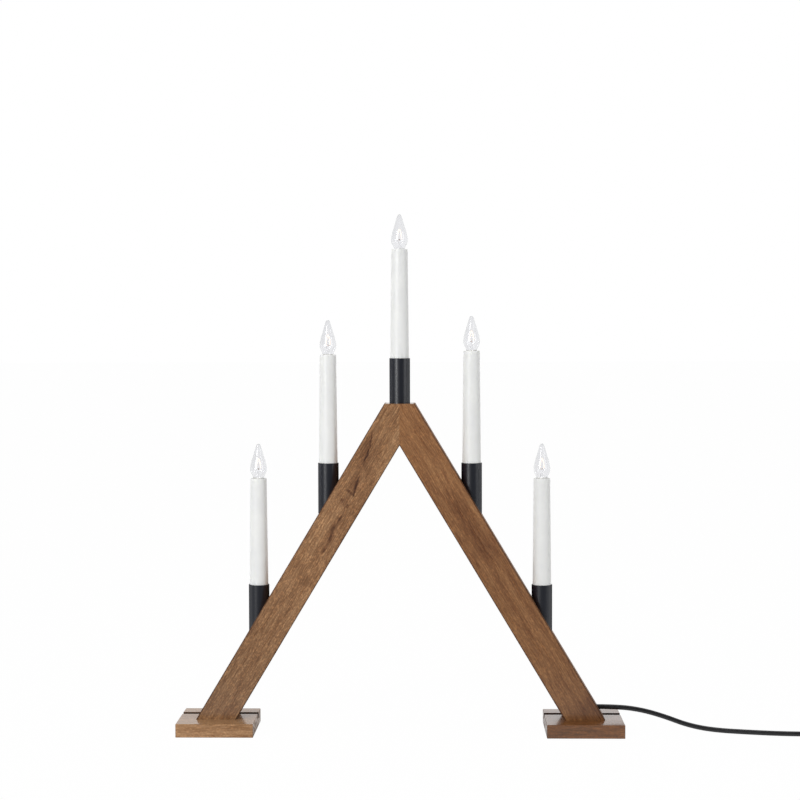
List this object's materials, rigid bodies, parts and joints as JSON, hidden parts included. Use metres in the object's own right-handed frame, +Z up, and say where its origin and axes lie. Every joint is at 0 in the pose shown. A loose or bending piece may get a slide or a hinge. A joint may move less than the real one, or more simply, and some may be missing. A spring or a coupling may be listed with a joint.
{
  "type": "electric candle arch",
  "caption": "Wooden A-shaped candle arch on square feet, with electric candles in black cups along its legs and apex, screw bulbs and a mains cord.",
  "frame": {"origin": "on the surface it stands on, midway between the feet, in the middle of their depth", "axes": "+X along the arch to the right seen from the front, +Y to the back, +Z up"},
  "size_m": [0.7694, 0.095, 0.5112],
  "materials": {
    "stained_wood": "satin stained and lacquered",
    "cover_wood": "plain",
    "cup_black": "satin",
    "candle_white": "satin",
    "holder_plastic": "matt",
    "brass": "bright",
    "solder": "dull",
    "bulb_glass": "clear",
    "filament": "bright",
    "screw_steel": "zinc plated",
    "cord_black": "satin",
    "wire_insulation": "matt"
  },
  "bodies": {
    "frame": {"apex_dowels": "cover_wood", "candle_tube_left_lower": "candle_white", "candle_tube_left_upper": "candle_white", "candle_tube_right_lower": "candle_white", "candle_tube_right_upper": "candle_white", "candle_tube_top": "candle_white", "clamp_screw": "screw_steel", "cord_bush": "holder_plastic", "cord_clamp": "holder_plastic", "cord_tail": "cord_black", "cord_tie": "cord_black", "cup_left_lower": "cup_black", "cup_left_upper": "cup_black", "cup_right_lower": "cup_black", "cup_right_upper": "cup_black", "cup_top": "cup_black", "foot_screws": "screw_steel", "holder_contacts": "brass", "holder_screw_shells": "brass", "lamp_holder_left_lower": "holder_plastic", "lamp_holder_left_upper": "holder_plastic", "lamp_holder_right_lower": "holder_plastic", "lamp_holder_right_upper": "holder_plastic", "lamp_holder_top": "holder_plastic", "left_back_cover": "cover_wood", "left_foot": "stained_wood", "left_leg": "stained_wood", "plug_body": "cord_black", "plug_pins": "screw_steel", "power_cord_coil": "cord_black", "power_cord_run": "cord_black", "right_back_cover": "cover_wood", "right_foot": "stained_wood", "right_leg": "stained_wood", "wire_left_upper_to_left_lower": "wire_insulation", "wire_return": "wire_insulation", "wire_right_lower_to_right_upper": "wire_insulation", "wire_right_upper_to_top": "wire_insulation", "wire_splice": "brass", "wire_top_to_left_upper": "wire_insulation"},
    "bulb_lift_top": {"bulb_tip_top": "solder"},
    "bulb_top": {"bulb_glass_top": "bulb_glass", "bulb_base_top": "brass", "bulb_filament_top": "filament"},
    "bulb_lift_left_upper": {"bulb_tip_left_upper": "solder"},
    "bulb_left_upper": {"bulb_glass_left_upper": "bulb_glass", "bulb_base_left_upper": "brass", "bulb_filament_left_upper": "filament"},
    "bulb_lift_right_upper": {"bulb_tip_right_upper": "solder"},
    "bulb_right_upper": {"bulb_glass_right_upper": "bulb_glass", "bulb_base_right_upper": "brass", "bulb_filament_right_upper": "filament"},
    "bulb_lift_left_lower": {"bulb_tip_left_lower": "solder"},
    "bulb_left_lower": {"bulb_glass_left_lower": "bulb_glass", "bulb_base_left_lower": "brass", "bulb_filament_left_lower": "filament"},
    "bulb_lift_right_lower": {"bulb_tip_right_lower": "solder"},
    "bulb_right_lower": {"bulb_glass_right_lower": "bulb_glass", "bulb_base_right_lower": "brass", "bulb_filament_right_lower": "filament"}
  },
  "joints": [
    {"name": "bulb_lift_top", "type": "slide", "parent": "frame", "child": "bulb_lift_top", "axis": [0, 0, 1], "range_m": [0, 0.00635]},
    {"name": "bulb_unscrew_top", "type": "hinge", "parent": "bulb_lift_top", "child": "bulb_top", "pos_m": [0, 0, 0.477], "axis": [0, 0, 1], "range_deg": [0, 1260]},
    {"name": "bulb_lift_left_upper", "type": "slide", "parent": "frame", "child": "bulb_lift_left_upper", "axis": [0, 0, 1], "range_m": [0, 0.00635]},
    {"name": "bulb_unscrew_left_upper", "type": "hinge", "parent": "bulb_lift_left_upper", "child": "bulb_left_upper", "pos_m": [-0.0709, 0, 0.37326], "axis": [0, 0, 1], "range_deg": [0, 1260]},
    {"name": "bulb_lift_right_upper", "type": "slide", "parent": "frame", "child": "bulb_lift_right_upper", "axis": [0, 0, 1], "range_m": [0, 0.00635]},
    {"name": "bulb_unscrew_right_upper", "type": "hinge", "parent": "bulb_lift_right_upper", "child": "bulb_right_upper", "pos_m": [0.0709, 0, 0.37695], "axis": [0, 0, 1], "range_deg": [0, 1260]},
    {"name": "bulb_lift_left_lower", "type": "slide", "parent": "frame", "child": "bulb_lift_left_lower", "axis": [0, 0, 1], "range_m": [0, 0.00635]},
    {"name": "bulb_unscrew_left_lower", "type": "hinge", "parent": "bulb_lift_left_lower", "child": "bulb_left_lower", "pos_m": [-0.1403, 0, 0.25099], "axis": [0, 0, 1], "range_deg": [0, 1260]},
    {"name": "bulb_lift_right_lower", "type": "slide", "parent": "frame", "child": "bulb_lift_right_lower", "axis": [0, 0, 1], "range_m": [0, 0.00635]},
    {"name": "bulb_unscrew_right_lower", "type": "hinge", "parent": "bulb_lift_right_lower", "child": "bulb_right_lower", "pos_m": [0.1403, 0, 0.25099], "axis": [0, 0, 1], "range_deg": [0, 1260]}
  ],
  "couplings": [
    {"joint": "bulb_lift_top", "follows": "bulb_unscrew_top", "m_per_rad": 0.00028871},
    {"joint": "bulb_lift_left_upper", "follows": "bulb_unscrew_left_upper", "m_per_rad": 0.00028871},
    {"joint": "bulb_lift_right_upper", "follows": "bulb_unscrew_right_upper", "m_per_rad": 0.00028871},
    {"joint": "bulb_lift_left_lower", "follows": "bulb_unscrew_left_lower", "m_per_rad": 0.00028871},
    {"joint": "bulb_lift_right_lower", "follows": "bulb_unscrew_right_lower", "m_per_rad": 0.00028871}
  ]
}
